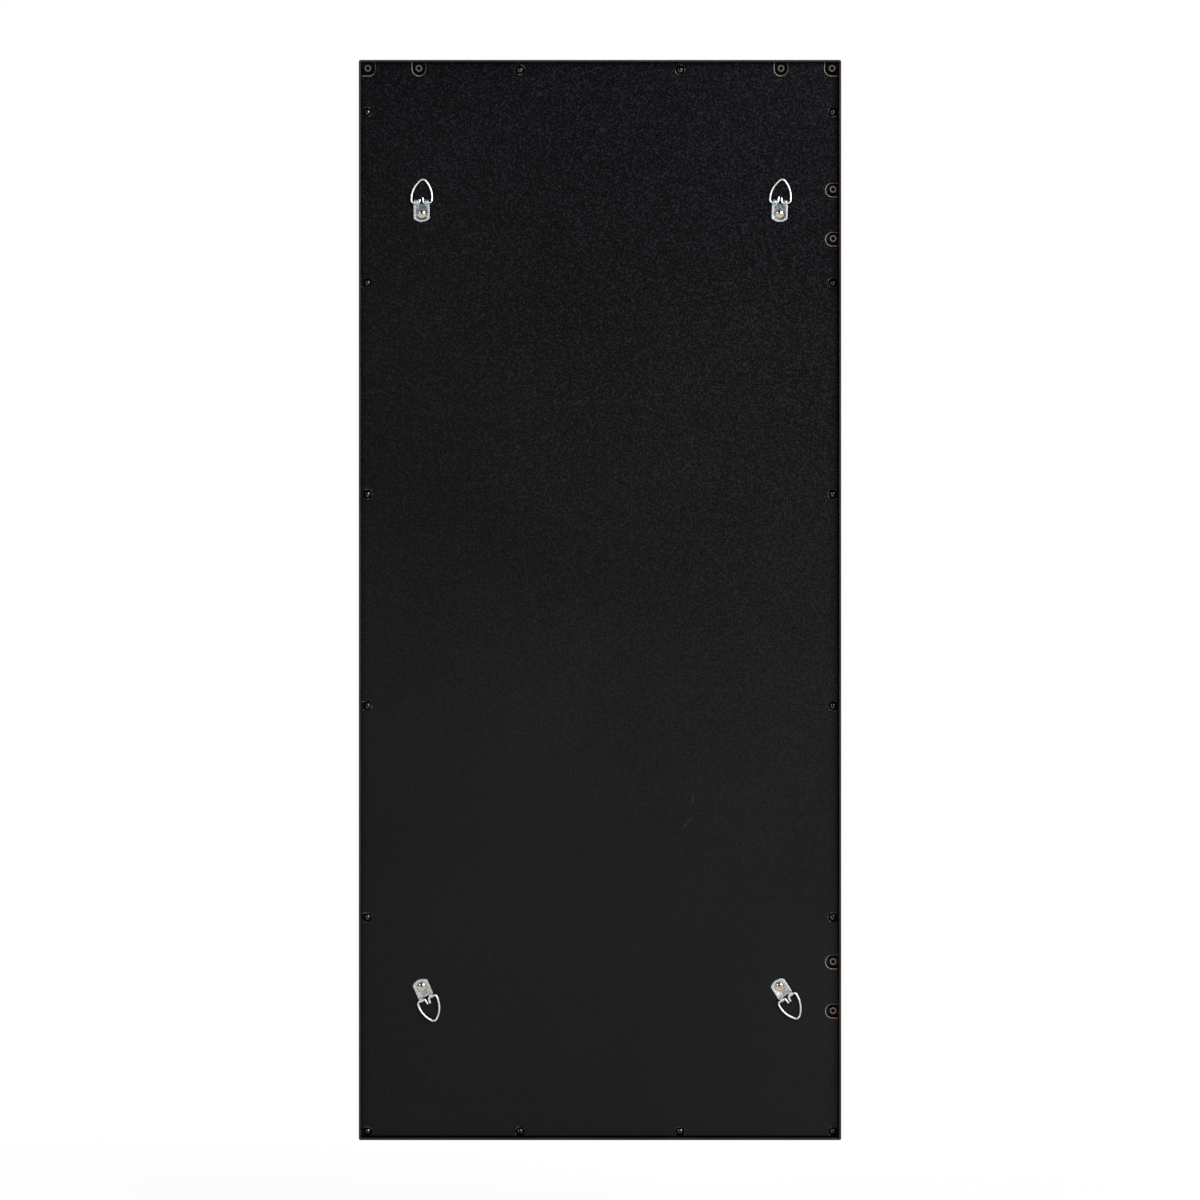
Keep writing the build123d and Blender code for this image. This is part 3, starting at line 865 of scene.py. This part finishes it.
def bentWire(leftProng, rightProng):
    point, heading, bends = ringBends(leftProng, rightProng)
    shape = bmesh.new()
    facing = headingVector(heading).to_track_quat("Z", "X").to_matrix().to_4x4()
    section = bmesh.ops.create_circle(
        shape,
        cap_ends=True,
        segments=ring["wireSides"],
        radius=ring["wire"],
        matrix=Matrix.Translation(point) @ facing,
    )["verts"]
    caps = shape.faces[:]
    edges = shape.edges[:]
    for run, turn, radius in bends:
        direction = headingVector(heading)
        if run > 0:
            grown = bmesh.ops.extrude_edge_only(shape, edges=edges)["geom"]
            section = [item for item in grown if isinstance(item, bmesh.types.BMVert)]
            bmesh.ops.translate(shape, vec=direction * run, verts=section)
            edges = [item for item in grown if isinstance(item, bmesh.types.BMEdge)]
            edges = [edge for edge in edges if edge.verts[0] in section and edge.verts[1] in section]
            point = point + direction * run
        if turn > 0:
            centre = point + Vector((direction.y, -direction.x, 0)) * radius
            last = bmesh.ops.spin(
                shape,
                geom=section + edges,
                cent=centre,
                axis=(0, 0, -1),
                angle=math.radians(turn),
                steps=max(6, round(turn / ring["bendStep"])),
                use_merge=False,
                use_normal_flip=False,
                use_duplicate=False,
            )["geom_last"]
            section = [item for item in last if isinstance(item, bmesh.types.BMVert)]
            edges = [item for item in last if isinstance(item, bmesh.types.BMEdge)]
            point = centre + Matrix.Rotation(-math.radians(turn), 3, "Z") @ (point - centre)
            heading -= turn
    caps += bmesh.ops.contextual_create(shape, geom=edges)["faces"]
    bmesh.ops.bevel(
        shape,
        geom=list({edge for face in caps for edge in face.edges}),
        offset=ring["tipRound"],
        offset_type="OFFSET",
        segments=2,
        profile=0.5,
        affect="EDGES",
        material=-1,
    )
    return shape


def softenedStrap(node):
    # the pressed strap with its sharp edges rounded as tumbling leaves them
    shape = bmesh.new()
    shape.from_mesh(nodes[node].data)
    bmesh.ops.remove_doubles(shape, verts=shape.verts, dist=strap["weld"])
    flatAngle, sharpAngle = math.radians(strap["flatAngle"]), math.radians(strap["sharpAngle"])
    bmesh.ops.dissolve_limit(shape, angle_limit=flatAngle, verts=shape.verts, edges=shape.edges)
    sharp = [edge for edge in shape.edges if edge.calc_face_angle(0.0) > sharpAngle]
    bmesh.ops.bevel(
        shape,
        geom=sharp,
        offset=strap["edgeRound"],
        offset_type="OFFSET",
        segments=2,
        profile=0.5,
        affect="EDGES",
        clamp_overlap=True,
        material=-1,
    )
    return shape


def pieceName(kind, place):
    return kind + "".join(word.capitalize() for word in place.split("_"))


def makeHangers():
    for name, (x, z, turn, leftProng, rightProng, leans) in hangers.items():
        wire = bentWire(leftProng, rightProng)
        axis = ring["axisUpper"] if z > 0 else ring["axisLower"]
        tilt = Matrix.Rotation(math.radians(-ring["tilt"] if leans else 0.0), 4, "X")
        seat = Matrix.Translation((0, axis, ring["axisHeight"]))
        place = standingOut(x, boardBack, z, turn) @ seat @ tilt
        bmesh.ops.transform(wire, matrix=place, verts=wire.verts)
        finishPiece(wire, pieceName("ring", name), "hanger_ring_" + name)

        strapNode = "hanger_strap_" + name
        finishPiece(softenedStrap(strapNode), pieceName("strap", name), strapNode)

        head = panHeadScrew(hangerScrew)
        place = standingOut(x, hangerScrew["seat"], z, hangerScrew["turn"])
        bmesh.ops.transform(head, matrix=place, verts=head.verts)
        finishPiece(head, pieceName("hangerScrew", name), "hanger_screw_" + name)
    print("hangers:", len(hangers))


makeHangers()


# Floor, world, lamps and camera

studio = {
    "floorDrop": 0.10,
    "floorSize": 60,
    "floorColor": (0.86, 0.86, 0.86),
    "nearWhiteness": 0.86,
    "shadowStart": 0.4,
    "shadowReach": 1.6,
    "ambient": 0.16,
    "darkRoom": 0.05,
    "roomTurn": (-0.55, 0.2),  # from the dark side of the room to the white one
    "cameraDistance": 6.0,
    "viewWidth": 1.2684,
    "sensor": 36,
    "lamps": [  # name, place, size, power, seen in reflections
        ("keyLamp", (2.3, -3.0, 1.7), 2.6, 150, True),
        ("fillLamp", (-2.3, -3.0, 1.5), 1.3, 30, True),
        ("frontKeyLamp", (-2.0, 3.0, 2.2), 1.6, 120, False),
        ("frontFillLamp", (2.4, 2.6, 1.2), 1.4, 60, False),
    ],
}


def seenDirectly(tree):
    path = addNode(tree, "ShaderNodeLightPath")
    mirrored = mathNode(tree, "MAXIMUM", path.outputs["Is Glossy Ray"], path.outputs["Is Transmission Ray"])
    return path.outputs["Is Camera Ray"], mirrored


def makeFloor():
    bpy.ops.mesh.primitive_plane_add(size=studio["floorSize"])
    floor = bpy.context.object
    floor.name = "studioFloor"
    floor.location.z = cadBounds[0][2] - studio["floorDrop"]
    material, tree = newMaterial("paleFloor")
    tree.nodes.remove(tree.nodes["Principled BSDF"])
    matte = addNode(tree, "ShaderNodeBsdfDiffuse")
    matte.inputs["Color"].default_value = (*studio["floorColor"], 1)
    white = addNode(tree, "ShaderNodeEmission")
    camera, mirrored = seenDirectly(tree)
    # the shadow shows near the object, further off the floor is plain white
    away = addNode(tree, "ShaderNodeVectorMath", operation="LENGTH")
    tree.links.new(objectPoint(tree), away.inputs[0])
    far = away.outputs["Value"]
    whiteness = remap(tree, far, studio["shadowStart"], studio["shadowReach"], studio["nearWhiteness"], 1.0)
    seen = mathNode(tree, "MAXIMUM", camera, mirrored)
    mix = addNode(tree, "ShaderNodeMixShader")
    tree.links.new(mathNode(tree, "MULTIPLY", seen, whiteness), mix.inputs[0])
    tree.links.new(matte.outputs[0], mix.inputs[1])
    tree.links.new(white.outputs[0], mix.inputs[2])
    tree.links.new(mix.outputs[0], tree.nodes["Material Output"].inputs["Surface"])
    floor.data.materials.append(material)


def makeWorld():
    world = bpy.data.worlds.new("studioWorld")
    bpy.context.scene.world = world
    world.use_nodes = True
    tree = world.node_tree
    toward = splitPoint(tree, addNode(tree, "ShaderNodeTexCoord").outputs["Generated"])
    camera, mirrored = seenDirectly(tree)
    # the room behind the photographer is dark, the backdrop is white
    reflected = remap(tree, toward[1], *studio["roomTurn"], studio["darkRoom"], 1.0)
    level = blendValue(tree, mirrored, studio["ambient"], reflected)
    level = blendValue(tree, camera, level, 1.0)
    background = tree.nodes["Background"]
    background.inputs["Color"].default_value = (1, 1, 1, 1)
    tree.links.new(level, background.inputs["Strength"])


def makeLamps():
    for name, place, size, power, reflectedToo in studio["lamps"]:
        light = bpy.data.lights.new(name, "AREA")
        light.size = size
        light.energy = power
        lamp = bpy.data.objects.new(name, light)
        lamp.location = place
        lamp.rotation_euler = (-Vector(place)).to_track_quat("-Z", "Y").to_euler()
        lamp.visible_glossy = reflectedToo
        bpy.context.scene.collection.objects.link(lamp)


def makeCamera():
    data = bpy.data.cameras.new("camera")
    data.sensor_width = studio["sensor"]
    data.lens = studio["sensor"] * studio["cameraDistance"] / studio["viewWidth"]
    camera = bpy.data.objects.new("camera", data)
    camera.location = (0, -studio["cameraDistance"], 0)
    camera.rotation_euler = (math.radians(90), 0, 0)
    bpy.context.scene.collection.objects.link(camera)
    bpy.context.scene.camera = camera


makeFloor()
makeWorld()
makeLamps()
makeCamera()
bpy.context.scene.view_settings.view_transform = "Standard"
print("studio ready")
